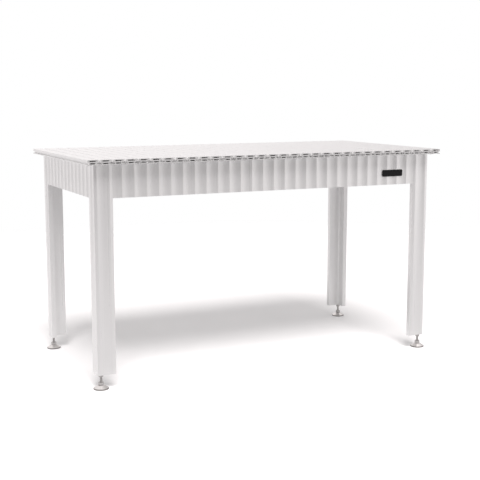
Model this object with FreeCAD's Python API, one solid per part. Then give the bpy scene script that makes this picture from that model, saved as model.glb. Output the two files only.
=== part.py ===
import FreeCAD, Part
import os

# Work table made of one extruded, slotted aluminium board.
# Origin on the floor under the middle of the top, X to the right, Y to the back, Z up, millimetres.

# Slotted board: T-slots on one face, shallow concave flutes on the other, a ridge behind each slot
slot_pitch = 50.0
board_thickness = 22.0
slot_width = 8.0
mouth_chamfer = 1.5
lip_thickness = 10.5
cavity_width = 22.0
slot_floor = 4.5
flute_depth = 2.5
ridge_flat = 2.0
chamber_skin = 2.5
upper_chamber_height = 4.2
chamber_web = 5.0
chamber_floor = 3.3
lip_width = 8.0
cavity_wall = 3.5

# Top: planks side by side, with the slots running from front to back
full_planks = 3
slots_per_full_plank = 8
slots_per_end_plank = 4
top_overhang = 40.0
table_height = 892.0

# Frame: four aprons between four corner legs
apron_height = 128.0
front_margin = 14.0
side_ridges = 14
side_margin = 35.0
leg_front_edge = 13.0
leg_side_edge = 28.0
leg_corner_radius = 3.0
leg_stand_height = 57.0

# Levelling feet
stud_radius = 5.0
stud_in_leg = 45.0
stud_tip_chamfer = 1.0
thread_clearance = 0.05
foot_inset_x = 20.0
foot_inset_y = 17.0
foot_boss_wall = 4.0
pad_radius = 30.0
pad_rim_height = 4.0
pad_rim_edge = 1.0
pad_cone_radius = 14.0
pad_height = 15.0
pad_sole = 4.0
pivot_radius = 7.0
pivot_clearance = 0.05
spindle_hex_flats = 20.0
spindle_hex_height = 13.0
washer_radius = 10.0
washer_thickness = 2.0
washer_clearance = 0.25
nut_flats = 17.0
nut_height = 8.0
hex_edge_chamfer = 1.2

# Joining plates, bolts and slot nuts inside the corners
plate_thickness = 5.0
plate_edge = 8.5
plate_gap = 10.0
bolt_row_edge = 15.0
boss_clearance = 0.5
bolt_radius = 3.0
bolt_hole_clearance = 0.3
bolt_head_radius = 5.0
bolt_head_top_radius = 3.5
bolt_head_height = 4.0
socket_flats = 4.0
socket_depth = 2.0
slot_nut_clearance = 1.0
slot_nut_height = 6.0
slot_nut_length = 18.0

# Angle cleats that hold the top down on the front and rear aprons
cleat_leg = 35.0
cleat_thickness = 4.0
cleat_width = 30.0
screw_tip_gap = 0.3
slot_floor_skin = 0.8

# Bare name plate on the front apron
badge_width = 102.0
badge_height = 28.5
badge_thickness = 2.0
badge_corner_radius = 6.0
badge_centre_x = 577.0
badge_drop = 100.0

# Sizes worked out from the ones above
X_AXIS = FreeCAD.Vector(1, 0, 0)
Y_AXIS = FreeCAD.Vector(0, 1, 0)
Z_AXIS = FreeCAD.Vector(0, 0, 1)
ORIGIN = FreeCAD.Vector(0, 0, 0)

top_slots = full_planks * slots_per_full_plank + 2 * slots_per_end_plank - 1
half_length = (top_slots - 1) / 2 * slot_pitch + front_margin
half_depth = (side_ridges - 1) / 2 * slot_pitch + side_margin
top_depth = 2 * (half_depth + top_overhang)
frame_top = table_height - board_thickness
apron_bottom = frame_top - apron_height
leg_front_width = front_margin + slot_pitch + leg_front_edge
leg_side_width = side_margin + leg_side_edge
bolt_hole_radius = bolt_radius + bolt_hole_clearance
tapped_bolt_radius = bolt_radius + thread_clearance
bolt_reach = lip_thickness + slot_nut_height
leg_hole_depth = bolt_reach + screw_tip_gap
cleat_hole_depth = slot_floor - slot_floor_skin
foot_hole_radius = stud_radius + thread_clearance
plate_height = apron_height - cleat_leg - 2 * plate_gap
plate_middle = apron_bottom + plate_gap + plate_height / 2
bolt_rows = [plate_middle - plate_height / 2 + bolt_row_edge, plate_middle + plate_height / 2 - bolt_row_edge]
cleat_bolt_height = frame_top - (cleat_leg + cleat_thickness) / 2
cleat_screw_inset = board_thickness + (cleat_leg + cleat_thickness) / 2
side_turn = {"front": 0, "right": 90, "rear": 180, "left": 270}
side_reach = {"front": half_depth, "right": half_length, "rear": half_depth, "left": half_length}
corner_signs = {"front_left": (-1, -1), "front_right": (1, -1), "rear_left": (-1, 1), "rear_right": (1, 1)}


def polygon(corners):
    return Part.Face(Part.makePolygon([FreeCAD.Vector(x, y, 0) for x, y in corners + corners[:1]]))


def rectangle(x0, y0, x1, y1):
    return polygon([(x0, y0), (x1, y0), (x1, y1), (x0, y1)])


def disc(x, y, radius):
    return Part.Face(Part.Wire(Part.makeCircle(radius, FreeCAD.Vector(x, y, 0))))


def box(x0, y0, z0, x1, y1, z1):
    return Part.makeBox(x1 - x0, y1 - y0, z1 - z0, FreeCAD.Vector(x0, y0, z0))


def flute_cuts(ridge_lines):
    """Discs that hollow the outer face on both sides of each ridge line."""
    half_chord = (slot_pitch - ridge_flat) / 2
    radius = (half_chord**2 + flute_depth**2) / (2 * flute_depth)
    middles = {round(line + side * slot_pitch / 2, 6) for line in ridge_lines for side in (-1, 1)}
    return [disc(middle, flute_depth - radius, radius) for middle in sorted(middles)]


def slot_cuts(slot_lines):
    """Chamfered mouth and wider cavity of each T-slot, open to the inner face."""
    lip_bottom = board_thickness - lip_thickness
    chamfer_bottom = board_thickness - mouth_chamfer
    cuts = []
    for line in slot_lines:
        left = line - slot_width / 2
        right = line + slot_width / 2
        mouth = [(left, lip_bottom), (right, lip_bottom), (right, chamfer_bottom)]
        mouth += [(right + mouth_chamfer, board_thickness), (left - mouth_chamfer, board_thickness)]
        cuts.append(polygon(mouth + [(left, chamfer_bottom)]))
        cuts.append(rectangle(line - cavity_width / 2, slot_floor, line + cavity_width / 2, lip_bottom))
    return cuts


def chamber_cuts(slot_lines):
    """Two hollow chambers, one above the other, in each land between two slots."""
    lowest = flute_depth + chamber_floor
    highest = board_thickness - chamber_skin
    split = highest - upper_chamber_height
    upper_half = (slot_pitch - slot_width) / 2 - lip_width
    lower_half = (slot_pitch - cavity_width) / 2 - cavity_wall
    cuts = []
    for line in slot_lines[:-1]:
        middle = line + slot_pitch / 2
        cuts.append(rectangle(middle - upper_half, split, middle + upper_half, highest))
        cuts.append(rectangle(middle - lower_half, lowest, middle + lower_half, split - chamber_web))
    return cuts


def board(start, end, slot_lines, length):
    """Board lying in X and Y, fluted face at y = 0 and slots open at the other face, extruded up."""
    cuts = flute_cuts(slot_lines) + slot_cuts(slot_lines) + chamber_cuts(slot_lines)
    section = rectangle(start, 0, end, board_thickness).cut(cuts)
    return section.Faces[0].extrude(Z_AXIS * length)


def on_side(shape, side):
    """Moves a piece from the board's own frame to one side of the table."""
    placed = shape.copy()
    placed.translate(FreeCAD.Vector(0, -side_reach[side], 0))
    placed.rotate(ORIGIN, Z_AXIS, side_turn[side])
    return placed


def hex_prism(flats, height, chamfer, bottom):
    """Hexagon standing on the plane z = bottom, with its upper and lower corners turned off."""
    corner_radius = flats / 3**0.5
    corner = FreeCAD.Vector(corner_radius, 0, bottom)
    hexagon = Part.makePolygon([FreeCAD.Rotation(Z_AXIS, 60 * turn).multVec(corner) for turn in range(7)])
    prism = Part.Face(hexagon).extrude(Z_AXIS * height)
    rise = (corner_radius - flats / 2 + chamfer) / 2
    profile = [(0, 0), (corner_radius - 2 * rise, 0), (corner_radius, rise), (corner_radius, height - rise)]
    profile += [(corner_radius - 2 * rise, height), (0, height)]
    return prism.common(turned(profile, bottom))


def turned(profile, bottom=0.0):
    """Solid of revolution about Z from radius and height pairs."""
    points = [FreeCAD.Vector(radius, 0, bottom + height) for radius, height in profile]
    return Part.Face(Part.makePolygon(points + points[:1])).revolve(ORIGIN, Z_AXIS, 360)


def plank_spans():
    """Start line, end line and slot lines of each plank, from left to right."""
    counts = [slots_per_end_plank] + [slots_per_full_plank] * full_planks + [slots_per_end_plank]
    start = -sum(counts) / 2 * slot_pitch
    spans = []
    for count in counts:
        lines = [start + step * slot_pitch for step in range(count + 1)]
        spans.append(lines)
        start = lines[-1]
    return spans


def cleat_lines():
    """Slot line of each plank that a cleat is screwed under."""
    spans = plank_spans()
    middle = [lines[len(lines) // 2] for lines in spans[1:-1]]
    return [spans[0][-2]] + middle + [spans[-1][1]]


def top_plank(lines, cleat_line):
    """One plank, with a blind tapped hole under a slot floor over each of its two cleats."""
    start = lines[0] + slot_width / 2
    end = lines[-1] - slot_width / 2
    plank = board(start, end, lines, top_depth)
    plank.rotate(ORIGIN, X_AXIS, 90)
    plank.translate(FreeCAD.Vector(0, top_depth / 2, frame_top))
    screw_y = half_depth - cleat_screw_inset
    holes = []
    for y in (-screw_y, screw_y):
        foot = FreeCAD.Vector(cleat_line, y, frame_top)
        holes.append(Part.makeCylinder(tapped_bolt_radius, cleat_hole_depth, foot))
    return plank.cut(holes)


def ridge_lines(count, left_out):
    """Ridge lines of one side, without the outer ones that belong to the legs."""
    first = -(count - 1) / 2
    return [(first + step) * slot_pitch for step in range(left_out, count - left_out)]


def apron(half_width, lines, side):
    panel = board(-half_width, half_width, lines, apron_height)
    panel.translate(Z_AXIS * apron_bottom)
    return on_side(panel, side)


def leg(sign_x, sign_y):
    """Corner leg of L section with a core hole for the foot's stud and tapped holes for the plates' bolts."""
    outline = rectangle(0, 0, leg_front_width, board_thickness)
    side_plate = rectangle(0, 0, board_thickness, leg_side_width)
    boss = disc(foot_inset_x, foot_inset_y, foot_hole_radius + foot_boss_wall)
    outline = outline.fuse([side_plate, boss]).removeSplitter()
    front_lines = [front_margin, front_margin + slot_pitch]
    side_flutes = [cut.mirror(ORIGIN, FreeCAD.Vector(1, -1, 0)) for cut in flute_cuts([side_margin])]
    core = disc(foot_inset_x, foot_inset_y, foot_hole_radius)
    section = outline.cut(flute_cuts(front_lines) + side_flutes + [core]).Faces[0]
    post = section.extrude(Z_AXIS * (frame_top - leg_stand_height))
    corner = min(post.Edges, key=lambda edge: edge.CenterOfMass.x + edge.CenterOfMass.y)
    post = post.makeFillet(leg_corner_radius, [corner])
    hole_bottom = board_thickness - leg_hole_depth
    holes = []
    for height in bolt_rows:
        front_foot = FreeCAD.Vector(front_lines[1], hole_bottom, height - leg_stand_height)
        side_foot = FreeCAD.Vector(hole_bottom, side_margin, height - leg_stand_height)
        holes.append(Part.makeCylinder(tapped_bolt_radius, leg_hole_depth, front_foot, Y_AXIS))
        holes.append(Part.makeCylinder(tapped_bolt_radius, leg_hole_depth, side_foot, X_AXIS))
    post = post.cut(holes)
    post.translate(FreeCAD.Vector(-half_length, -half_depth, leg_stand_height))
    if sign_x > 0:
        post = post.mirror(ORIGIN, X_AXIS)
    if sign_y > 0:
        post = post.mirror(ORIGIN, Y_AXIS)
    return post


def joining_plate(middle, boss_reach):
    """Flat plate across the joint of an apron and a leg, clear of the leg's core."""
    half_width = slot_pitch / 2 + plate_edge
    back = board_thickness
    front = board_thickness + plate_thickness
    low = plate_middle - plate_height / 2
    high = plate_middle + plate_height / 2
    plate = box(middle - half_width, back, low, middle + half_width, front, high)
    outer = 1 if middle > 0 else -1
    beyond = outer * (abs(middle) + slot_pitch)
    limit = outer * boss_reach
    cuts = [box(min(limit, beyond), back, low, max(limit, beyond), front, high)]
    for line in (middle - slot_pitch / 2, middle + slot_pitch / 2):
        for height in bolt_rows:
            foot = FreeCAD.Vector(line, back, height)
            cuts.append(Part.makeCylinder(bolt_hole_radius, plate_thickness, foot, Y_AXIS))
    return plate.cut(cuts)


def bolt(shank_length):
    """Button-head bolt with its shank up Z from the plane z = 0 and its head below."""
    head = [(0, 0), (bolt_head_radius, 0), (bolt_head_radius, -bolt_head_height / 2)]
    head += [(bolt_head_top_radius, -bolt_head_height), (0, -bolt_head_height)]
    shank = Part.makeCylinder(bolt_radius, shank_length)
    socket = hex_prism(socket_flats, socket_depth, 0, -bolt_head_height)
    return turned(head).fuse(shank).removeSplitter().cut(socket)


def board_bolt(line, height, grip):
    """Bolt through a plate of the given grip into a slot nut, or into a leg."""
    piece = bolt(grip + bolt_reach)
    piece.rotate(ORIGIN, X_AXIS, 90)
    piece.translate(FreeCAD.Vector(line, board_thickness + grip, height))
    return piece


def slot_nut(line, height):
    """Slot nut drawn up against the inside of the slot's lips."""
    half_width = cavity_width / 2 - slot_nut_clearance
    far = board_thickness - lip_thickness
    near = far - slot_nut_height
    low = height - slot_nut_length / 2
    block = box(line - half_width, near, low, line + half_width, far, low + slot_nut_length)
    hole = Part.makeCylinder(tapped_bolt_radius, slot_nut_height, FreeCAD.Vector(line, near, height), Y_AXIS)
    return block.cut(hole)


def cleat(line):
    """Angle with one bolt to the apron and one screw up into the plank above it."""
    back = board_thickness
    upright = box(line - cleat_width / 2, back, frame_top - cleat_leg, line + cleat_width / 2,
                  back + cleat_thickness, frame_top)
    shelf = box(line - cleat_width / 2, back, frame_top - cleat_thickness, line + cleat_width / 2,
                back + cleat_leg, frame_top)
    bolt_foot = FreeCAD.Vector(line, back, cleat_bolt_height)
    screw_foot = FreeCAD.Vector(line, cleat_screw_inset, frame_top - cleat_thickness)
    holes = [Part.makeCylinder(bolt_hole_radius, cleat_thickness, bolt_foot, Y_AXIS)]
    holes.append(Part.makeCylinder(bolt_hole_radius, cleat_thickness, screw_foot))
    return upright.fuse(shelf).removeSplitter().cut(holes)


def cleat_screw(line):
    piece = bolt(cleat_thickness + cleat_hole_depth - screw_tip_gap)
    piece.translate(FreeCAD.Vector(line, cleat_screw_inset, frame_top - cleat_thickness))
    return piece


def foot_pad():
    """Round foot with a flat sole, a coned top and a socket for the spindle's end."""
    socket = pivot_radius + pivot_clearance
    inner_rim = pad_radius - pad_rim_edge
    profile = [(0, 0), (inner_rim, 0), (pad_radius, pad_rim_edge), (pad_radius, pad_rim_height)]
    profile += [(inner_rim, pad_rim_height + pad_rim_edge), (pad_cone_radius, pad_height)]
    profile += [(socket, pad_height), (socket, pad_sole), (0, pad_sole)]
    return turned(profile)


def foot_spindle():
    """Stud with a hexagon for the spanner and a plain end that turns in the pad."""
    hexagon = hex_prism(spindle_hex_flats, spindle_hex_height, hex_edge_chamfer, pad_height)
    pivot = Part.makeCylinder(pivot_radius, pad_height - pad_sole, FreeCAD.Vector(0, 0, pad_sole))
    stud_top = leg_stand_height + stud_in_leg
    stud_foot = pad_height + spindle_hex_height
    stud = [(0, stud_foot), (stud_radius, stud_foot), (stud_radius, stud_top - stud_tip_chamfer)]
    stud += [(stud_radius - stud_tip_chamfer, stud_top), (0, stud_top)]
    return hexagon.fuse([pivot, turned(stud)]).removeSplitter()


def lock_washer():
    foot = FreeCAD.Vector(0, 0, leg_stand_height - washer_thickness)
    ring = Part.makeCylinder(washer_radius, washer_thickness, foot)
    return ring.cut(Part.makeCylinder(stud_radius + washer_clearance, washer_thickness, foot))


def lock_nut():
    bottom = leg_stand_height - washer_thickness - nut_height
    body = hex_prism(nut_flats, nut_height, hex_edge_chamfer, bottom)
    return body.cut(Part.makeCylinder(foot_hole_radius, nut_height, FreeCAD.Vector(0, 0, bottom)))


def badge_plate():
    """Thin plate with round corners that lies on the ridges of the front apron."""
    middle = table_height - badge_drop
    plate = box(badge_centre_x - badge_width / 2, -half_depth - badge_thickness, middle - badge_height / 2,
                badge_centre_x + badge_width / 2, -half_depth, middle + badge_height / 2)
    corners = [edge for edge in plate.Edges if abs(edge.tangentAt(0).y) > 0.5]
    return plate.makeFillet(badge_corner_radius, corners)


def top_parts():
    """Planks, numbered from left to right."""
    planks = enumerate(zip(plank_spans(), cleat_lines()), 1)
    return {"top_plank_" + str(number): top_plank(*lines) for number, lines in planks}


def frame_parts():
    """Aprons and legs."""
    front_half = half_length - leg_front_width
    side_half = half_depth - leg_side_width
    parts = {}
    for side in ("front", "rear"):
        parts[side + "_apron"] = apron(front_half, ridge_lines(top_slots, 2), side)
    for side in ("left", "right"):
        parts[side + "_apron"] = apron(side_half, ridge_lines(side_ridges, 1), side)
    for corner, signs in corner_signs.items():
        parts["leg_" + corner] = leg(*signs)
    return parts


def joint_parts():
    """Joining plates and cleats, with the bolts, slot nuts and screws that hold them."""
    boss_radius = foot_hole_radius + foot_boss_wall + boss_clearance
    middle = {"front": half_length - front_margin - 3 * slot_pitch / 2,
              "left": half_depth - side_margin - slot_pitch / 2}
    reach = {"front": half_length - foot_inset_x - boss_radius,
             "left": half_depth - foot_inset_y - boss_radius}
    middle.update(rear=middle["front"], right=middle["left"])
    reach.update(rear=reach["front"], right=reach["left"])
    ends = {"front": ("left", "right"), "rear": ("right", "left"),
            "left": ("rear", "front"), "right": ("front", "rear")}
    parts, bolts, nuts, screws = {}, [], [], []
    for side, end_names in ends.items():
        for end_name, sign in zip(end_names, (-1, 1)):
            plate = joining_plate(sign * middle[side], reach[side])
            parts["joining_plate_" + side + "_" + end_name] = on_side(plate, side)
            apron_line = sign * (middle[side] - slot_pitch / 2)
            leg_line = sign * (middle[side] + slot_pitch / 2)
            for height in bolt_rows:
                bolts.append(on_side(board_bolt(apron_line, height, plate_thickness), side))
                bolts.append(on_side(board_bolt(leg_line, height, plate_thickness), side))
                nuts.append(on_side(slot_nut(apron_line, height), side))
    for side, sign in (("front", 1), ("rear", -1)):
        for number, line in enumerate(cleat_lines(), 1):
            parts["top_cleat_" + side + "_" + str(number)] = on_side(cleat(sign * line), side)
            bolts.append(on_side(board_bolt(sign * line, cleat_bolt_height, cleat_thickness), side))
            nuts.append(on_side(slot_nut(sign * line, cleat_bolt_height), side))
            screws.append(on_side(cleat_screw(sign * line), side))
    parts["frame_bolts"] = Part.makeCompound(bolts)
    parts["frame_slot_nuts"] = Part.makeCompound(nuts)
    parts["cleat_screws"] = Part.makeCompound(screws)
    return parts


def foot_parts():
    """One levelling foot under each leg."""
    pieces = {"foot_pad_": foot_pad(), "foot_spindle_": foot_spindle(),
              "lock_washer_": lock_washer(), "lock_nut_": lock_nut()}
    parts = {}
    for corner, (sign_x, sign_y) in corner_signs.items():
        place = FreeCAD.Vector(sign_x * (half_length - foot_inset_x), sign_y * (half_depth - foot_inset_y), 0)
        for name, piece in pieces.items():
            parts[name + corner] = piece.translated(place)
    return parts


def main():
    parts = top_parts()
    parts.update(frame_parts())
    parts.update(joint_parts())
    parts.update(foot_parts())
    parts["badge_plate"] = badge_plate()
    os.makedirs("parts", exist_ok=True)
    for name, shape in parts.items():
        shape.exportStep("parts/" + name + ".step")
        print(name, len(shape.Solids), "solids", round(shape.Volume / 1000, 1), "cm3", shape.isValid())


main()
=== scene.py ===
import bpy
import math
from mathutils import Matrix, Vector


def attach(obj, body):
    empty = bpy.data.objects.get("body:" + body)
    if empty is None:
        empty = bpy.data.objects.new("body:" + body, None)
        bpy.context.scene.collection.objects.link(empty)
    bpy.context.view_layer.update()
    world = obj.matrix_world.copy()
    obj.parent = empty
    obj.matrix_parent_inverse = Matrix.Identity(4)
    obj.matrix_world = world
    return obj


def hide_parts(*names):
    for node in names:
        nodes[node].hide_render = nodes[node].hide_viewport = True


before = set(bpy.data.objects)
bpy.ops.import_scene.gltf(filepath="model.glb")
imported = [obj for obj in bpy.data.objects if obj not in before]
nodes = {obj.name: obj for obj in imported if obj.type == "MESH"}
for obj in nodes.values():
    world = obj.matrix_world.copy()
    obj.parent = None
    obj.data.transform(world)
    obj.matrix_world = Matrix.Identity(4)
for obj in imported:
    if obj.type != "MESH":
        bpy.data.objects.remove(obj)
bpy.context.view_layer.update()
scene = bpy.context.scene
scene.view_settings.view_transform = "Standard"
print("frame loaded:", len(nodes), "nodes")

mixA, mixB, mixOut = 6, 7, 2  # a Mix node's colour sockets, named like its float ones
noiseLow, noiseHigh = 0.3, 0.7  # where nearly all values of a noise texture lie


def linear(hexColour):
    values = [int(hexColour[i:i + 2], 16) / 255 for i in (1, 3, 5)]
    return tuple(v / 12.92 if v <= 0.04045 else ((v + 0.055) / 1.055) ** 2.4
                 for v in values) + (1.0,)


def addNode(tree, kind, links=None, **settings):
    node = tree.nodes.new(kind)
    for name, value in settings.items():
        setattr(node, name, value)
    for name, value in (links or {}).items():
        if isinstance(value, bpy.types.NodeSocket):
            tree.links.new(value, node.inputs[name])
        else:
            node.inputs[name].default_value = value
    return node


def newMaterial(name):
    material = bpy.data.materials.new(name)
    material.use_nodes = True
    tree = material.node_tree
    tree.nodes.clear()
    return material, tree


# Camera, taken from the photograph's corners, slot ends, legs and feet
cameraSet = {
    "place": (-1.8774, -3.9317, 1.1523),
    "yaw": 25.763,  # degrees to the right of straight ahead
    "pitch": 8.67,  # degrees down
    "lens": 74.43,
    "sensor": 36.0,
    "farClip": 200.0,
}


def makeCamera(c):
    data = bpy.data.cameras.new("camera")
    data.lens = c["lens"]
    data.sensor_width = c["sensor"]
    data.clip_end = c["farClip"]
    camera = bpy.data.objects.new("camera", data)
    scene.collection.objects.link(camera)
    yaw, pitch = math.radians(c["yaw"]), math.radians(c["pitch"])
    ahead = Vector((math.sin(yaw) * math.cos(pitch), math.cos(yaw) * math.cos(pitch),
                    -math.sin(pitch)))
    camera.location = c["place"]
    camera.rotation_mode = "QUATERNION"
    camera.rotation_quaternion = ahead.to_track_quat("-Z", "Y")
    scene.camera = camera
    print("camera set")


# Studio: a white sweep behind, a darker room in front, one broad lamp from the front left and
# above. Spans say where the room's light changes, along X, Y or Z of the direction looked in
studio = {
    "keyTowards": (145, 530, -892),  # the shadow's shift over the height of the table
    "keyAngle": 28.0,  # degrees across, for the soft rim of the shadow
    "keyStrength": 2.6,
    "lightColour": "#FFFBFB",  # lamp and room a little warm
    "frontLevel": 0.34,
    "backLevel": 1.0,
    "backSpan": (-0.3, 1.0),
    "sideFall": 0.40,  # what is left of the sweep's light at its two sides
    "sideSpan": (0.1, 0.85),
    "rightLevel": 0.94,
    "rightSpan": (0.0, 0.85),
    "rightFall": 0.5,  # what is left of that beside and behind the table
    "rightFallSpan": (-0.25, 0.35),
    "leftLevel": 0.60,
    "leftSpan": (-0.15, -0.75),
    "topLevel": 0.45,
    "topSpan": (0.3, 0.85),
    "floorColour": "#F9F9F9",
    "frontBounce": "#C0C0C0",  # what the floor gives back to the table, in front of it
    "backBounce": "#DEDEDE",  # and under it and behind
    "bounceSpan": (-0.2, 0.2),  # metres from the floor's middle, front to back
    "floorLift": 0.10,  # seen by the camera and in metal, and lights nothing matt
    "floorPlace": (0.2, -0.4, 0),
    "floorRadius": 4.6,
    "floorFade": 1.2,
    "floorRings": 24,
    "floorSpokes": 96,
}


def makeLamp(s):
    lamp = bpy.data.lights.new("keyLamp", "SUN")
    lamp.angle = math.radians(s["keyAngle"])
    lamp.energy = s["keyStrength"]
    lamp.color = linear(s["lightColour"])[:3]
    key = bpy.data.objects.new("keyLamp", lamp)
    scene.collection.objects.link(key)
    key.rotation_mode = "QUATERNION"
    key.rotation_quaternion = Vector(s["keyTowards"]).to_track_quat("-Z", "Y")
    print("lamp set")


def makeRoom(s):
    world = bpy.data.worlds.new("studioRoom")
    scene.world = world
    world.use_nodes = True
    tree = world.node_tree
    tree.nodes.clear()
    place = addNode(tree, "ShaderNodeTexCoord")
    part = addNode(tree, "ShaderNodeSeparateXYZ", {"Vector": place.outputs["Generated"]})
    x, y, z = part.outputs
    away = addNode(tree, "ShaderNodeMath", {0: x}, operation="ABSOLUTE")
    light = {}
    for name, value, span, levels, curve in (
            ("deep", y, s["backSpan"], (s["frontLevel"], s["backLevel"]), "LINEAR"),
            ("fall", away.outputs[0], s["sideSpan"], (1.0, s["sideFall"]), "LINEAR"),
            ("right", x, s["rightSpan"], (0.0, s["rightLevel"]), "SMOOTHSTEP"),
            ("rightFall", y, s["rightFallSpan"], (1.0, s["rightFall"]), "SMOOTHSTEP"),
            ("left", x, s["leftSpan"], (0.0, s["leftLevel"]), "SMOOTHSTEP"),
            ("above", z, s["topSpan"], (0.0, 1.0), "SMOOTHSTEP")):
        light[name] = addNode(tree, "ShaderNodeMapRange", {
            "Value": value, "From Min": span[0], "From Max": span[1],
            "To Min": levels[0], "To Max": levels[1]}, interpolation_type=curve).outputs[0]
    # from the dark room in front to the white sweep behind, with both sides lit as well
    depth = addNode(tree, "ShaderNodeMath", {0: light["deep"], 1: light["fall"]},
                    operation="MULTIPLY")
    right = addNode(tree, "ShaderNodeMath", {0: light["right"], 1: light["rightFall"]},
                    operation="MULTIPLY")
    sides = addNode(tree, "ShaderNodeMath", {0: right.outputs[0], 1: light["left"]},
                    operation="MAXIMUM")
    walls = addNode(tree, "ShaderNodeMath", {0: depth.outputs[0], 1: sides.outputs[0]},
                    operation="MAXIMUM")
    room = addNode(tree, "ShaderNodeMix", {"Factor": light["above"], "A": walls.outputs[0],
                                           "B": s["topLevel"]})
    # the camera sees white all round, and metal sees the same white behind the table and above
    ray = addNode(tree, "ShaderNodeLightPath")
    middle = addNode(tree, "ShaderNodeMapRange", {"Value": depth.outputs[0],
                                                  "From Min": s["sideFall"]})
    sweep = addNode(tree, "ShaderNodeMath", {0: middle.outputs[0], 1: light["above"]},
                    operation="MAXIMUM")
    mirrored = addNode(tree, "ShaderNodeMath", {0: ray.outputs["Is Glossy Ray"],
                                                1: sweep.outputs[0]}, operation="MULTIPLY")
    through = addNode(tree, "ShaderNodeMath", {0: mirrored.outputs[0],
                                               1: ray.outputs["Is Transmission Ray"]},
                      operation="MAXIMUM")
    seen = addNode(tree, "ShaderNodeMath", {0: through.outputs[0],
                                            1: ray.outputs["Is Camera Ray"]},
                   operation="MAXIMUM")
    shown = addNode(tree, "ShaderNodeMix", {"Factor": seen.outputs[0], "A": room.outputs[0],
                                            "B": 1.0})
    tint = addNode(tree, "ShaderNodeMix", {"Factor": ray.outputs["Is Camera Ray"],
                                           mixA: linear(s["lightColour"]),
                                           mixB: linear("#FFFFFF")}, data_type="RGBA")
    back = addNode(tree, "ShaderNodeBackground", {"Color": tint.outputs[mixOut],
                                                  "Strength": shown.outputs[0]})
    addNode(tree, "ShaderNodeOutputWorld", {"Surface": back.outputs[0]})
    print("room lit")


def paperSweep(name, s):
    # matt white paper that fades out at its rim
    material, tree = newMaterial(name)
    place = addNode(tree, "ShaderNodeTexCoord")
    far = addNode(tree, "ShaderNodeVectorMath", {0: place.outputs["Object"]}, operation="LENGTH")
    fade = addNode(tree, "ShaderNodeMapRange", {"Value": far.outputs["Value"],
                                                "From Min": s["floorRadius"] - s["floorFade"],
                                                "From Max": s["floorRadius"]},
                   interpolation_type="SMOOTHSTEP")
    # the camera sees the paper white, and the table is lit by a greyer sheet
    ray = addNode(tree, "ShaderNodeLightPath")
    part = addNode(tree, "ShaderNodeSeparateXYZ", {"Vector": place.outputs["Object"]})
    deep = addNode(tree, "ShaderNodeMapRange", {"Value": part.outputs["Y"],
                                                "From Min": s["bounceSpan"][0],
                                                "From Max": s["bounceSpan"][1]})
    bounce = addNode(tree, "ShaderNodeMix", {"Factor": deep.outputs[0],
                                             mixA: linear(s["frontBounce"]),
                                             mixB: linear(s["backBounce"])}, data_type="RGBA")
    sheet = addNode(tree, "ShaderNodeMix", {"Factor": ray.outputs["Is Camera Ray"],
                                            mixA: bounce.outputs[mixOut],
                                            mixB: linear(s["floorColour"])}, data_type="RGBA")
    paper = addNode(tree, "ShaderNodeBsdfDiffuse", {"Color": sheet.outputs[mixOut]})
    # a little glow for the camera and for metal lifts the shadow
    mirrored = addNode(tree, "ShaderNodeMath", {0: ray.outputs["Is Glossy Ray"],
                                                1: ray.outputs["Is Transmission Ray"]},
                       operation="MAXIMUM")
    seen = addNode(tree, "ShaderNodeMath", {0: ray.outputs["Is Camera Ray"],
                                            1: mirrored.outputs[0]}, operation="MAXIMUM")
    lift = addNode(tree, "ShaderNodeMath", {0: seen.outputs[0], 1: s["floorLift"]},
                   operation="MULTIPLY")
    glow = addNode(tree, "ShaderNodeEmission", {"Strength": lift.outputs[0]})
    lifted = addNode(tree, "ShaderNodeAddShader", {0: paper.outputs[0], 1: glow.outputs[0]})
    clear = addNode(tree, "ShaderNodeBsdfTransparent")
    mixed = addNode(tree, "ShaderNodeMixShader", {"Fac": fade.outputs[0], 1: lifted.outputs[0],
                                                  2: clear.outputs[0]})
    addNode(tree, "ShaderNodeOutputMaterial", {"Surface": mixed.outputs[0]})
    return material


def makeFloor(s):
    rings, spokes = s["floorRings"], s["floorSpokes"]
    points, faces = [(0, 0, 0)], []
    for ring in range(1, rings + 1):
        radius = s["floorRadius"] * ring / rings
        for spoke in range(spokes):
            turn = 2 * math.pi * spoke / spokes
            points.append((radius * math.cos(turn), radius * math.sin(turn), 0))
    for spoke in range(spokes):
        after = (spoke + 1) % spokes
        faces.append((0, 1 + spoke, 1 + after))
        for ring in range(rings - 1):
            low, high = 1 + ring * spokes, 1 + (ring + 1) * spokes
            faces.append((low + spoke, high + spoke, high + after, low + after))
    mesh = bpy.data.meshes.new("floor")
    mesh.from_pydata(points, [], faces)
    mesh.materials.append(paperSweep("matt paper sweep", s))
    floor = bpy.data.objects.new("floor", mesh)
    floor.location = s["floorPlace"]
    scene.collection.objects.link(floor)
    print("floor laid")


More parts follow.
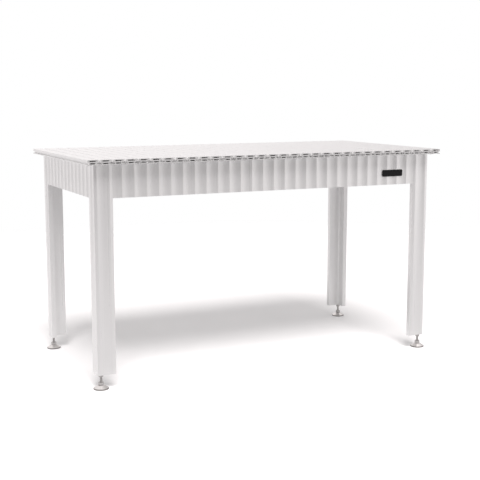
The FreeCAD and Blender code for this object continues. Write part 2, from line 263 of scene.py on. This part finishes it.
# Extruded aluminium, etched and natural anodised: pale and satin, with faint die lines along the
# extrusion and duller ends where the saw went through. Slots and chambers are painted matt white,
# a painted light in them, with less of it in a slot's wide part and lips, as painted shade there
extrusion = {
    "colour": "#F6F6F6",
    "lineColour": "#EEEEEE",
    "sawnColour": "#D2D2D2",
    # painted light: slots and chambers are painted near white and matt, brighter than the metal
    # would show there
    "insideLightColour": "#FCFCFC",
    "metallic": 0.7,
    "insideMetallic": 0.0,  # matt, with no metal, part of that painted light
    "wideSlotLight": 0.15,  # what is left of that painted light in a slot's wide part and on its lips, painted shade there
    "boardMm": {"X": (0.0, 795.5), "Y": (0.0, 399.5), "Z": (881.0, 10.5)},  # middle and reach
    "pitchMm": 50.0,
    "wideMm": 23.0,
    "neckMm": (885.0, 7.0),  # middle and height of a slot's neck
    "roughness": (0.27, 0.39),  # between the die lines and in them
    "sawnRoughness": 0.6,
    "sawnFacing": (0.9, 0.97),  # how squarely a face looks along the board to be a sawn one
    "lineMm": 2.5,  # die lines are about 0.1 mm apart, drawn coarser so that they show
    "lineLengthMm": 900.0,
    "lineDetail": 3.0,
    "lineFineness": 0.6,
    "sawMm": 12.0,  # between saw marks along an edge, drawn coarser than the real 0.5 mm
    "sawWander": 1.5,
    "sawDetail": 2.0,
    "relief": 0.25,
    "reliefMm": 0.05,
}


def paintedSlotLight(tree, place, a):
    # painted light inside the planks, between their two faces and their outer edges
    part = addNode(tree, "ShaderNodeSeparateXYZ", {"Vector": place.outputs["Object"]})
    inside = 1.0
    for axis, (middle, reach) in a["boardMm"].items():
        near = addNode(tree, "ShaderNodeMath", {0: part.outputs[axis], 1: middle / 1000,
                                                2: reach / 1000}, operation="COMPARE")
        inside = addNode(tree, "ShaderNodeMath", {0: near.outputs[0], 1: inside},
                         operation="MULTIPLY").outputs[0]
    # the painted light stays full in a slot's neck and mostly leaves its lips and wide part, which
    # stay darker as painted shade
    line = addNode(tree, "ShaderNodeMath", {0: part.outputs["X"], 1: a["pitchMm"] / 2000},
                   operation="PINGPONG")
    slot = addNode(tree, "ShaderNodeMath", {0: line.outputs[0], 1: a["wideMm"] / 2000},
                   operation="LESS_THAN")
    middle, height = a["neckMm"]
    neck = addNode(tree, "ShaderNodeMath", {0: part.outputs["Z"], 1: middle / 1000,
                                            2: height / 2000}, operation="COMPARE")
    slotLightShare = addNode(tree, "ShaderNodeMapRange", {"Value": neck.outputs[0],
                                                  "To Min": a["wideSlotLight"], "To Max": 1.0})
    kept = addNode(tree, "ShaderNodeMix", {"Factor": slot.outputs[0], "A": 1.0,
                                           "B": slotLightShare.outputs[0]})
    return addNode(tree, "ShaderNodeMath", {0: inside, 1: kept.outputs[0]},
                   operation="MULTIPLY").outputs[0]


def extrudedAluminium(name, along, slotted, a):
    material, tree = newMaterial(name)
    place = addNode(tree, "ShaderNodeTexCoord")
    stretch = [1000 / (a["lineLengthMm"] if axis == along else a["lineMm"]) for axis in "XYZ"]
    drawn = addNode(tree, "ShaderNodeMapping", {"Vector": place.outputs["Object"],
                                                "Scale": stretch})
    lines = addNode(tree, "ShaderNodeTexNoise", {"Vector": drawn.outputs[0], "Scale": 1.0,
                                                 "Detail": a["lineDetail"],
                                                 "Roughness": a["lineFineness"]})
    facing = addNode(tree, "ShaderNodeSeparateXYZ", {"Vector": place.outputs["Normal"]})
    flat = addNode(tree, "ShaderNodeMath", {0: facing.outputs[along]}, operation="ABSOLUTE")
    sawn = addNode(tree, "ShaderNodeMapRange", {"Value": flat.outputs[0],
                                                "From Min": a["sawnFacing"][0],
                                                "From Max": a["sawnFacing"][1]})
    bandScale = 2 * math.pi / 10 / (a["sawMm"] / 1000)  # a wave texture counts in tenths
    marks = addNode(tree, "ShaderNodeTexWave", {"Vector": place.outputs["Object"],
                                                "Scale": bandScale,
                                                "Distortion": a["sawWander"],
                                                "Detail": a["sawDetail"]},
                    wave_type="BANDS", bands_direction="DIAGONAL")
    satin = addNode(tree, "ShaderNodeMix", {"Factor": lines.outputs[0],
                                            mixA: linear(a["colour"]),
                                            mixB: linear(a["lineColour"])}, data_type="RGBA")
    skin, metal = satin.outputs[mixOut], a["metallic"]
    if slotted:
        # slots and chambers painted matt white: painted light inside the planks, less in the
        # slots' wide parts
        inside = paintedSlotLight(tree, place, a)
        skin = addNode(tree, "ShaderNodeMix", {"Factor": inside, mixA: skin,
                                               mixB: linear(a["insideLightColour"])},
                       data_type="RGBA").outputs[mixOut]
        metal = addNode(tree, "ShaderNodeMix", {"Factor": inside, "A": metal,
                                                "B": a["insideMetallic"]}).outputs[0]
    colour = addNode(tree, "ShaderNodeMix", {"Factor": sawn.outputs[0], mixA: skin,
                                             mixB: linear(a["sawnColour"])}, data_type="RGBA")
    smooth = addNode(tree, "ShaderNodeMapRange", {"Value": lines.outputs[0],
                                                  "From Min": noiseLow, "From Max": noiseHigh,
                                                  "To Min": a["roughness"][0],
                                                  "To Max": a["roughness"][1]})
    rough = addNode(tree, "ShaderNodeMix", {"Factor": sawn.outputs[0], "A": smooth.outputs[0],
                                            "B": a["sawnRoughness"]})
    relief = addNode(tree, "ShaderNodeMix", {"Factor": sawn.outputs[0], "A": lines.outputs[0],
                                             "B": marks.outputs["Fac"]})
    bump = addNode(tree, "ShaderNodeBump", {"Height": relief.outputs[0], "Strength": a["relief"],
                                            "Distance": a["reliefMm"] / 1000})
    shader = addNode(tree, "ShaderNodeBsdfPrincipled", {"Base Color": colour.outputs[mixOut],
                                                        "Metallic": metal,
                                                        "Roughness": rough.outputs[0],
                                                        "Normal": bump.outputs[0]})
    addNode(tree, "ShaderNodeOutputMaterial", {"Surface": shader.outputs[0]})
    return material


# Zinc plated steel, passivated: a cool grey with cloudy patches and a soft gloss
zinc = {
    "colour": "#CCCAC9",
    "cloudColour": "#BBB9B8",
    "cloudMm": 6.0,
    "cloudDetail": 2.0,
    "roughness": (0.28, 0.42),
    "grainMm": 0.6,
    "grainDetail": 1.0,
    "relief": 0.1,
    "reliefMm": 0.1,
}


def zincPlate(name, z):
    material, tree = newMaterial(name)
    place = addNode(tree, "ShaderNodeTexCoord")
    cloud = addNode(tree, "ShaderNodeTexNoise", {"Vector": place.outputs["Object"],
                                                 "Scale": 1000 / z["cloudMm"],
                                                 "Detail": z["cloudDetail"]})
    grain = addNode(tree, "ShaderNodeTexNoise", {"Vector": place.outputs["Object"],
                                                 "Scale": 1000 / z["grainMm"],
                                                 "Detail": z["grainDetail"]})
    colour = addNode(tree, "ShaderNodeMix", {"Factor": cloud.outputs[0],
                                             mixA: linear(z["colour"]),
                                             mixB: linear(z["cloudColour"])}, data_type="RGBA")
    rough = addNode(tree, "ShaderNodeMapRange", {"Value": cloud.outputs[0],
                                                 "From Min": noiseLow, "From Max": noiseHigh,
                                                 "To Min": z["roughness"][0],
                                                 "To Max": z["roughness"][1]})
    bump = addNode(tree, "ShaderNodeBump", {"Height": grain.outputs[0], "Strength": z["relief"],
                                            "Distance": z["reliefMm"] / 1000})
    shader = addNode(tree, "ShaderNodeBsdfPrincipled", {"Base Color": colour.outputs[mixOut],
                                                        "Metallic": 1.0,
                                                        "Roughness": rough.outputs[0],
                                                        "Normal": bump.outputs[0]})
    addNode(tree, "ShaderNodeOutputMaterial", {"Surface": shader.outputs[0]})
    return material


footPlace = (0.744, 0.343)  # metres from the table's middle, along X and Y

# Turned and polished steel: a clear gloss broken by fine rings from the lathe
turned = {
    "colour": "#F3F1EF",
    "ringColour": "#E4E1DF",
    "ringMm": 1.2,  # real rings are about 0.1 mm apart, drawn coarser so that they show
    "ringDetail": 2.0,
    "roughness": (0.29, 0.42),
    "rimColour": "#94918F",  # the rim, the pad's lowest 5 mm, is darker grey
    "rimMm": 5.2,
    "rimFadeMm": 0.5,
    "relief": 0.2,
    "reliefMm": 0.1,
}


def turnedSteel(name, t):
    material, tree = newMaterial(name)
    place = addNode(tree, "ShaderNodeTexCoord")
    part = addNode(tree, "ShaderNodeSeparateXYZ", {"Vector": place.outputs["Object"]})
    across = {}
    for axis, offset in zip("XY", footPlace):  # all four feet share one centre this way
        away = addNode(tree, "ShaderNodeMath", {0: part.outputs[axis]}, operation="ABSOLUTE")
        across[axis] = addNode(tree, "ShaderNodeMath", {0: away.outputs[0], 1: offset},
                               operation="SUBTRACT").outputs[0]
    spot = addNode(tree, "ShaderNodeCombineXYZ", across)
    radius = addNode(tree, "ShaderNodeVectorMath", {0: spot.outputs[0]}, operation="LENGTH")
    rings = addNode(tree, "ShaderNodeTexNoise", {"W": radius.outputs["Value"],
                                                 "Scale": 1000 / t["ringMm"],
                                                 "Detail": t["ringDetail"]},
                    noise_dimensions="1D")
    gloss = addNode(tree, "ShaderNodeMix", {"Factor": rings.outputs[0],
                                            mixA: linear(t["colour"]),
                                            mixB: linear(t["ringColour"])}, data_type="RGBA")
    rough = addNode(tree, "ShaderNodeMapRange", {"Value": rings.outputs[0],
                                                 "From Min": noiseLow, "From Max": noiseHigh,
                                                 "To Min": t["roughness"][0],
                                                 "To Max": t["roughness"][1]})
    rim = addNode(tree, "ShaderNodeMapRange", {"Value": part.outputs["Z"],
                                               "From Min": (t["rimMm"] - t["rimFadeMm"]) / 1000,
                                               "From Max": t["rimMm"] / 1000,
                                               "To Min": 1.0, "To Max": 0.0})
    colour = addNode(tree, "ShaderNodeMix", {"Factor": rim.outputs[0],
                                             mixA: gloss.outputs[mixOut],
                                             mixB: linear(t["rimColour"])}, data_type="RGBA")
    bump = addNode(tree, "ShaderNodeBump", {"Height": rings.outputs[0], "Strength": t["relief"],
                                            "Distance": t["reliefMm"] / 1000})
    shader = addNode(tree, "ShaderNodeBsdfPrincipled", {"Base Color": colour.outputs[mixOut],
                                                        "Metallic": 1.0,
                                                        "Roughness": rough.outputs[0],
                                                        "Normal": bump.outputs[0]})
    addNode(tree, "ShaderNodeOutputMaterial", {"Surface": shader.outputs[0]})
    return material


# Brushed plate, anodised black: deep black with a faint sheen along the brushing
blackFinish = {
    "colour": "#0B0B0C",
    "sheenColour": "#1B1B1D",
    "gloss": 0.2,
    "roughness": (0.30, 0.46),
    "brushMm": 0.8,  # real brush marks are about 0.05 mm wide, drawn coarser so that they show
    "brushLengthMm": 60.0,
    "brushDetail": 2.0,
    "relief": 0.15,
    "reliefMm": 0.1,
}


def blackAnodised(name, b):
    material, tree = newMaterial(name)
    place = addNode(tree, "ShaderNodeTexCoord")
    fine = 1000 / b["brushMm"]
    drawn = addNode(tree, "ShaderNodeMapping", {"Vector": place.outputs["Object"],
                                                "Scale": (1000 / b["brushLengthMm"], fine, fine)})
    lines = addNode(tree, "ShaderNodeTexNoise", {"Vector": drawn.outputs[0], "Scale": 1.0,
                                                 "Detail": b["brushDetail"]})
    colour = addNode(tree, "ShaderNodeMix", {"Factor": lines.outputs[0],
                                             mixA: linear(b["colour"]),
                                             mixB: linear(b["sheenColour"])}, data_type="RGBA")
    rough = addNode(tree, "ShaderNodeMapRange", {"Value": lines.outputs[0],
                                                 "From Min": noiseLow, "From Max": noiseHigh,
                                                 "To Min": b["roughness"][0],
                                                 "To Max": b["roughness"][1]})
    bump = addNode(tree, "ShaderNodeBump", {"Height": lines.outputs[0], "Strength": b["relief"],
                                            "Distance": b["reliefMm"] / 1000})
    shader = addNode(tree, "ShaderNodeBsdfPrincipled", {"Base Color": colour.outputs[mixOut],
                                                        "Metallic": 0.0,
                                                        "Specular IOR Level": b["gloss"],
                                                        "Roughness": rough.outputs[0],
                                                        "Normal": bump.outputs[0]})
    addNode(tree, "ShaderNodeOutputMaterial", {"Surface": shader.outputs[0]})
    return material


# Round and six-sided pieces are stacks of rings of the same number of points, in millimetres
ringCount = 48


def ringOf(radiusAt, heightAt, centre):
    ring = []
    for step in range(ringCount):
        turn = 2 * math.pi * step / ringCount
        radius = radiusAt(turn)
        ring.append((centre[0] + radius * math.cos(turn) / 1000,
                     centre[1] + radius * math.sin(turn) / 1000, heightAt(radius) / 1000))
    return ring


def roundRing(radius, height, centre=(0, 0)):
    return ringOf(lambda turn: radius, lambda r: height, centre)


def hexRing(flats, height, slope=0.0, edge=0.0, centre=(0, 0)):
    halfSide = math.pi / 6  # as an angle

    def reachAt(turn):
        return flats / 2 / math.cos(turn % (2 * halfSide) - halfSide)

    return ringOf(reachAt, lambda r: height - slope * (r - flats / 2 + edge), centre)


def stackRings(stacks):
    # skins each stack from its first ring to its last, and caps both ends
    points, faces = [], []
    for rings in stacks:
        base, count = len(points), len(rings[0])
        points += [point for ring in rings for point in ring]
        for k in range(len(rings) - 1):
            low = base + k * count
            for i in range(count):
                j = (i + 1) % count
                faces.append((low + i, low + j, low + count + j, low + count + i))
        faces.append(tuple(reversed(range(base, base + count))))
        faces.append(tuple(range(len(points) - count, len(points))))
    return points, faces


def tubeOf(rings):
    # a closed skin round a bore: the last ring joins the first
    count = len(rings[0])
    points = [point for ring in rings for point in ring]
    faces = []
    for k in range(len(rings)):
        low, high = k * count, (k + 1) % len(rings) * count
        for i in range(count):
            j = (i + 1) % count
            faces.append((low + i, low + j, high + j, high + i))
    return points, faces


def newPiece(name, shape, material, sharpDegrees=30):
    points, faces = shape
    mesh = bpy.data.meshes.new(name)
    mesh.from_pydata(points, [], faces)
    mesh.shade_smooth()
    mesh.set_sharp_from_angle(angle=math.radians(sharpDegrees))
    mesh.materials.append(material)
    piece = bpy.data.objects.new(name, mesh)
    scene.collection.objects.link(piece)
    return piece


def bakeNodes(piece, tree, **values):
    # the tree's named inputs are set by their identifiers, and the result becomes a plain mesh
    live = piece.modifiers.new(tree.name, "NODES")
    live.node_group = tree
    for socket in tree.interface.items_tree:
        if socket.name in values:
            live[socket.identifier] = values[socket.name]
    seen = piece.evaluated_get(bpy.context.evaluated_depsgraph_get())
    mesh = bpy.data.meshes.new_from_object(seen)
    piece.modifiers.clear()
    piece.data = mesh


def placePiece(piece, body, slotName, *replaced):
    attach(piece, body)
    if replaced:
        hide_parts(*replaced)


# Feet: turned pad, spindle with its own right-hand thread, washer and lock nut, in millimetres
corners = {"front_left": (-1, -1), "front_right": (1, -1), "rear_left": (-1, 1),
           "rear_right": (1, 1)}
foot = {
    "padRadius": 30.0,
    "padRim": ((-1.2, 0.0), (-0.4, 0.3), (0.0, 1.0), (0.0, 3.4), (-0.3, 4.3), (-1.2, 4.9),
               (-3.0, 5.7)),  # out from the pad's radius, and up
    "padHeight": 15.0,
    "padCone": 14.0,
    "padShoulder": ((1.4, -1.1), (0.4, -0.4), (-0.6, 0.0)),  # out from the cone, up from its top
    "socketRadius": 7.05,
    "socketEdge": 0.6,
    "socketFloor": 4.0,
    "pivotRadius": 7.0,
    "hexFlats": 20.0,
    "hexTop": 28.0,
    "hexEdge": 1.2,  # chamfer of the hexagon and the nut
    "hexSlope": 0.5,
    "studTop": 102.0,
    "studRadius": 5.0,
    "studTip": 0.8,
    "pivotSink": 0.5,  # how far pivot and stud run into the hexagon
    "studSink": 1.0,
    "threadPitch": 1.5,
    "threadDepth": 0.8,
    "threadStart": 0.6,
    "threadSpare": 2.5,  # how much shorter than the stud
    "legFoot": 57.0,
    "washerRadius": 10.0,
    "washerBore": 5.25,
    "washerThickness": 2.0,
    "washerEdge": 0.3,
    "nutFlats": 17.0,
    "nutHeight": 8.0,
    "nutBore": 5.05,
    "nutEdge": 0.6,
}


def threadTree(material):
    tree = bpy.data.node_groups.new("rolledThread", "GeometryNodeTree")
    tree.interface.new_socket("Geometry", in_out="INPUT", socket_type="NodeSocketGeometry")
    tree.interface.new_socket("Centre", in_out="INPUT", socket_type="NodeSocketVector")
    for name in ("Pitch", "Length", "Radius", "Depth"):
        tree.interface.new_socket(name, in_out="INPUT", socket_type="NodeSocketFloat")
    tree.interface.new_socket("Geometry", in_out="OUTPUT", socket_type="NodeSocketGeometry")
    given = addNode(tree, "NodeGroupInput")
    turns = addNode(tree, "ShaderNodeMath", {0: given.outputs["Length"],
                                             1: given.outputs["Pitch"]}, operation="DIVIDE")
    # the rib is a three-sided circle, one and a half times its radius deep
    ribRadius = addNode(tree, "ShaderNodeMath", {0: given.outputs["Depth"], 1: 1.5},
                        operation="DIVIDE")
    middle = addNode(tree, "ShaderNodeMath", {0: given.outputs["Radius"],
                                              1: ribRadius.outputs[0]}, operation="SUBTRACT")
    coil = addNode(tree, "GeometryNodeCurveSpiral", {"Resolution": 24,
                                                     "Rotations": turns.outputs[0],
                                                     "Start Radius": middle.outputs[0],
                                                     "End Radius": middle.outputs[0],
                                                     "Height": given.outputs["Length"],
                                                     "Reverse": True})
    level = addNode(tree, "GeometryNodeSetCurveNormal", {"Curve": coil.outputs[0]}, mode="Z_UP")
    crest = addNode(tree, "GeometryNodeCurvePrimitiveCircle", {"Resolution": 3,
                                                               "Radius": ribRadius.outputs[0]},
                    mode="RADIUS")
    rib = addNode(tree, "GeometryNodeCurveToMesh", {"Curve": level.outputs[0],
                                                    "Profile Curve": crest.outputs[0],
                                                    "Fill Caps": True})
    placed = addNode(tree, "GeometryNodeTransform", {"Geometry": rib.outputs[0],
                                                     "Translation": given.outputs["Centre"]})
    both = addNode(tree, "GeometryNodeJoinGeometry", {"Geometry": given.outputs["Geometry"]})
    tree.links.new(placed.outputs[0], both.inputs[0])
    real = addNode(tree, "GeometryNodeRealizeInstances", {"Geometry": both.outputs[0]})
    dressed = addNode(tree, "GeometryNodeSetMaterial", {"Geometry": real.outputs[0],
                                                        "Material": material})
    addNode(tree, "NodeGroupOutput", {"Geometry": dressed.outputs[0]})
    return tree


def hexagonRings(f, flats, low, high, centre):
    # a hexagon with a round chamfer at both ends
    edge, slope = f["hexEdge"], f["hexSlope"]
    return [roundRing(flats / 2 - edge, low, centre), hexRing(flats, low, -slope, edge, centre),
            hexRing(flats, high, slope, edge, centre), roundRing(flats / 2 - edge, high, centre)]


def makePad(f, corner, centre, polished):
    top, socket = f["padHeight"], f["socketRadius"]
    profile = [(f["padRadius"] + out, up) for out, up in f["padRim"]]
    profile += [(f["padCone"] + out, top + up) for out, up in f["padShoulder"]]
    profile += [(socket + f["socketEdge"], top), (socket, top - f["socketEdge"]),
                (socket, f["socketFloor"])]
    rings = [roundRing(radius, height, centre) for radius, height in profile]
    pad = newPiece("turnedPad_" + corner, stackRings([rings]), polished)
    placePiece(pad, "pad_" + corner, "polished_steel", "foot_pad_" + corner)


def makeSpindle(f, corner, centre, steel, thread):
    low, high, top = f["padHeight"], f["hexTop"], f["studTop"]
    core, tip = f["studRadius"] - f["threadDepth"], f["studTip"]
    pivot = [roundRing(f["pivotRadius"], height, centre)
             for height in (f["socketFloor"], low + f["pivotSink"])]
    stud = [roundRing(radius, height, centre) for radius, height in (
        (core, high - f["studSink"]), (core, top - tip), (core - tip, top))]
    shape = stackRings([pivot, hexagonRings(f, f["hexFlats"], low, high, centre), stud])
    spindle = newPiece("threadedSpindle_" + corner, shape, steel)
    bakeNodes(spindle, thread, Centre=(centre[0], centre[1], (high + f["threadStart"]) / 1000),
              Pitch=f["threadPitch"] / 1000, Length=(top - f["threadSpare"] - high) / 1000,
              Radius=f["studRadius"] / 1000, Depth=f["threadDepth"] / 1000)
    placePiece(spindle, "spindle_" + corner, "zinc_plated_steel", "foot_spindle_" + corner)


def makeWasher(f, corner, centre, steel):
    high, low = f["legFoot"], f["legFoot"] - f["washerThickness"]
    outer, bore, edge = f["washerRadius"], f["washerBore"], f["washerEdge"]
    profile = [(bore, low), (outer - edge, low), (outer, low + edge), (outer, high - edge),
               (outer - edge, high), (bore, high)]
    rings = [roundRing(radius, height, centre) for radius, height in profile]
    washer = newPiece("washer_ring_" + corner, tubeOf(rings), steel)
    placePiece(washer, "washer_" + corner, "zinc_plated_steel", "lock_washer_" + corner)


def makeNut(f, corner, centre, steel):
    high = f["legFoot"] - f["washerThickness"]
    low = high - f["nutHeight"]
    bore, edge = f["nutBore"], f["nutEdge"]
    rings = [roundRing(bore, low + edge, centre), roundRing(bore + edge, low, centre)]
    rings += hexagonRings(f, f["nutFlats"], low, high, centre)
    rings += [roundRing(bore + edge, high, centre), roundRing(bore, high - edge, centre)]
    nut = newPiece("hexNut_" + corner, tubeOf(rings), steel)
    placePiece(nut, "nut_" + corner, "zinc_plated_steel", "lock_nut_" + corner)


def makeFeet(f, steel, polished):
    thread = threadTree(steel)
    for corner, signs in corners.items():
        centre = [sign * offset for sign, offset in zip(signs, footPlace)]
        makePad(f, corner, centre, polished)
        makeSpindle(f, corner, centre, steel, thread)
        makeWasher(f, corner, centre, steel)
        makeNut(f, corner, centre, steel)
    print("feet made:", len(corners))


# Button-head bolts on the joining plates and cleats, and screws up into the planks, in millimetres
fastener = {
    "headRadius": 5.0,
    "headHeight": 4.0,
    "headRound": ((-0.1, 0.0), (0.0, 0.3), (-0.1, 1.2), (-0.6, 2.5), (-1.2, 3.4)),  # out, and up
    "headFlat": 3.0,
    "socketFlats": 4.0,
    "socketDepth": 2.0,
    "socketEdge": (0.4, 0.3),  # wider, and deep
    "shankRadius": 3.0,
    "shankTip": 0.6,
    "boltShank": 20.0,
    "screwShank": 7.0,
    "plateRows": (767.0, 810.0),
    "cleatRow": 850.5,
    "screwRow": 866.0,
    "plateLines": {"long": (650.0, 700.0), "short": (275.0, 325.0)},
    "cleatLines": (-650.0, -400.0, 0.0, 400.0, 650.0),
    "plateFace": 27.0,  # from the outer face of the frame to the heads
    "cleatFace": 26.0,
    "screwInset": 41.5,
    "reach": {"long": 360.0, "short": 764.0},
}


def scatterTree(material):
    tree = bpy.data.node_groups.new("boltsInHoles", "GeometryNodeTree")
    tree.interface.new_socket("Geometry", in_out="INPUT", socket_type="NodeSocketGeometry")
    tree.interface.new_socket("Bolt", in_out="INPUT", socket_type="NodeSocketObject")
    tree.interface.new_socket("Geometry", in_out="OUTPUT", socket_type="NodeSocketGeometry")
    given = addNode(tree, "NodeGroupInput")
    bolt = addNode(tree, "GeometryNodeObjectInfo", {"Object": given.outputs["Bolt"]})
    aim = addNode(tree, "GeometryNodeInputNamedAttribute", {"Name": "aim"},
                  data_type="FLOAT_VECTOR")
    turn = addNode(tree, "FunctionNodeAlignRotationToVector", {"Vector": aim.outputs[0]}, axis="Z")
    spread = addNode(tree, "GeometryNodeInstanceOnPoints", {"Points": given.outputs["Geometry"],
                                                            "Instance": bolt.outputs["Geometry"],
                                                            "Rotation": turn.outputs[0]})
    real = addNode(tree, "GeometryNodeRealizeInstances", {"Geometry": spread.outputs[0]})
    dressed = addNode(tree, "GeometryNodeSetMaterial", {"Geometry": real.outputs[0],
                                                        "Material": material})
    addNode(tree, "NodeGroupOutput", {"Geometry": dressed.outputs[0]})
    return tree


def boltShape(f, shank):
    radius, tip, top = f["shankRadius"], f["shankTip"], f["headHeight"]
    outside = [(radius - tip, -shank), (radius, -shank + tip), (radius, 0)]
    outside += [(f["headRadius"] + out, up) for out, up in f["headRound"]]
    outside.append((f["headFlat"], top))
    rings = [roundRing(reach, height) for reach, height in outside]
    flats, (wider, deep) = f["socketFlats"], f["socketEdge"]
    rings += [hexRing(flats + wider, top), hexRing(flats, top - deep),
              hexRing(flats, top - f["socketDepth"])]
    return stackRings([rings])


def makeFasteners(f, steel):
    tree = scatterTree(steel)
    boltSpots, screwSpots = [], []
    for quarter, span in enumerate(("long", "short", "long", "short")):  # front, right, rear, left
        turn = quarter * math.pi / 2
        reach = f["reach"][span]
        spots = [(sign * line, -reach + f["plateFace"], row)
                 for sign in (-1, 1) for line in f["plateLines"][span] for row in f["plateRows"]]
        if span == "long":
            spots += [(line, -reach + f["cleatFace"], f["cleatRow"]) for line in f["cleatLines"]]
            screwSpots += [((line, -reach + f["screwInset"], f["screwRow"]), turn)
                           for line in f["cleatLines"]]
        boltSpots += [(spot, turn) for spot in spots]
    jobs = (("plateBolts", f["boltShank"], boltSpots, "frame_bolts"),
            ("plankScrews", f["screwShank"], screwSpots, "cleat_screws"))
    for name, shank, spots, node in jobs:
        points, aims = [], []
        for (x, y, z), turn in spots:
            c, s = math.cos(turn), math.sin(turn)
            points.append(((c * x - s * y) / 1000, (s * x + c * y) / 1000, z / 1000))
            aims += [0, 0, -1] if node == "cleat_screws" else [-s, c, 0]  # where the head looks
        piece = newPiece(name, (points, []), steel)
        aim = piece.data.attributes.new("aim", "FLOAT_VECTOR", "POINT")
        aim.data.foreach_set("vector", aims)
        sample = newPiece(name + "Sample", boltShape(f, shank), steel)
        bakeNodes(piece, tree, Bolt=sample)
        bpy.data.objects.remove(sample)
        placePiece(piece, "table", "zinc_plated_steel", node)
    print("fasteners made:", len(boltSpots), "bolts", len(screwSpots), "screws")


# Bare plate on the front apron: a thin raised border round a plain field, in millimetres
plate = {
    "width": 102.0,
    "height": 28.5,
    "corner": 6.0,
    "cornerSteps": 8,
    "leastCorner": 0.5,
    "middle": (577.0, 792.0),
    "face": -360.0,
    "thickness": 2.0,
    "edge": 0.4,
    "edgeTurn": 0.3,  # share of the edge at which its round turns
    "border": 1.4,
    "fieldDepth": 0.35,
    "fieldSlope": 0.3,
}


def plateRing(p, inset, depth):
    radius = max(p["corner"] - inset, p["leastCorner"])
    across, up = p["width"] / 2 - inset - radius, p["height"] / 2 - inset - radius
    ring = []
    for quarter, (sx, sz) in enumerate(((1, 1), (-1, 1), (-1, -1), (1, -1))):
        for step in range(p["cornerSteps"] + 1):
            turn = (quarter + step / p["cornerSteps"]) * math.pi / 2
            ring.append(((p["middle"][0] + sx * across + radius * math.cos(turn)) / 1000,
                         (p["face"] - depth) / 1000,
                         (p["middle"][1] + sz * up + radius * math.sin(turn)) / 1000))
    return ring


def makePlate(p, black):
    full, edge, border = p["thickness"], p["edge"], p["border"]
    turn = edge * p["edgeTurn"]
    profile = [(0, 0), (0, full - edge), (turn, full - turn), (edge, full), (border, full),
               (border + p["fieldSlope"], full - p["fieldDepth"])]
    rings = [plateRing(p, inset, depth) for inset, depth in profile]
    piece = newPiece("barePlate", stackRings([rings]), black)
    placePiece(piece, "table", "black_anodised_plate", "badge_plate")
    print("plate made")


# Sawn and drawn edges are never sharp: a small round along each of them catches the light
edges = {"roundMm": 0.6, "roundSteps": 2, "sharpDegrees": 50.0, "mergeMm": 0.005,
         "broadWeight": 100}  # broad faces stay flat up to their rounds


def dressNodes(board, upright, steel, e):
    for name, obj in nodes.items():
        finish = steel
        if "plank" in name:
            finish = board
        elif "apron" in name or name.startswith("leg_"):
            finish = upright
        for slot in obj.material_slots:
            slot.material = finish
        weld = obj.modifiers.new("weld", "WELD")
        weld.merge_threshold = e["mergeMm"] / 1000
        ease = obj.modifiers.new("ease", "BEVEL")
        ease.width = e["roundMm"] / 1000
        ease.segments = e["roundSteps"]
        ease.limit_method = "ANGLE"
        ease.angle_limit = math.radians(e["sharpDegrees"])
        level = obj.modifiers.new("level", "WEIGHTED_NORMAL")
        level.mode = "FACE_AREA"
        level.weight = e["broadWeight"]
        level.keep_sharp = False
    print("solids dressed")


makeCamera(cameraSet)
makeLamp(studio)
makeRoom(studio)
makeFloor(studio)
plankFinish = extrudedAluminium("anodised aluminium, extruded along the plank", "Y", True,
                                extrusion)
uprightFinish = extrudedAluminium("anodised aluminium, extruded upright", "Z", False, extrusion)
steelFinish = zincPlate("zinc plated steel, passivated", zinc)
padFinish = turnedSteel("turned and polished steel", turned)
plateFinish = blackAnodised("brushed plate, anodised black", blackFinish)
dressNodes(plankFinish, uprightFinish, steelFinish, edges)
makeFeet(foot, steelFinish, padFinish)
makeFasteners(fastener, steelFinish)
makePlate(plate, plateFinish)
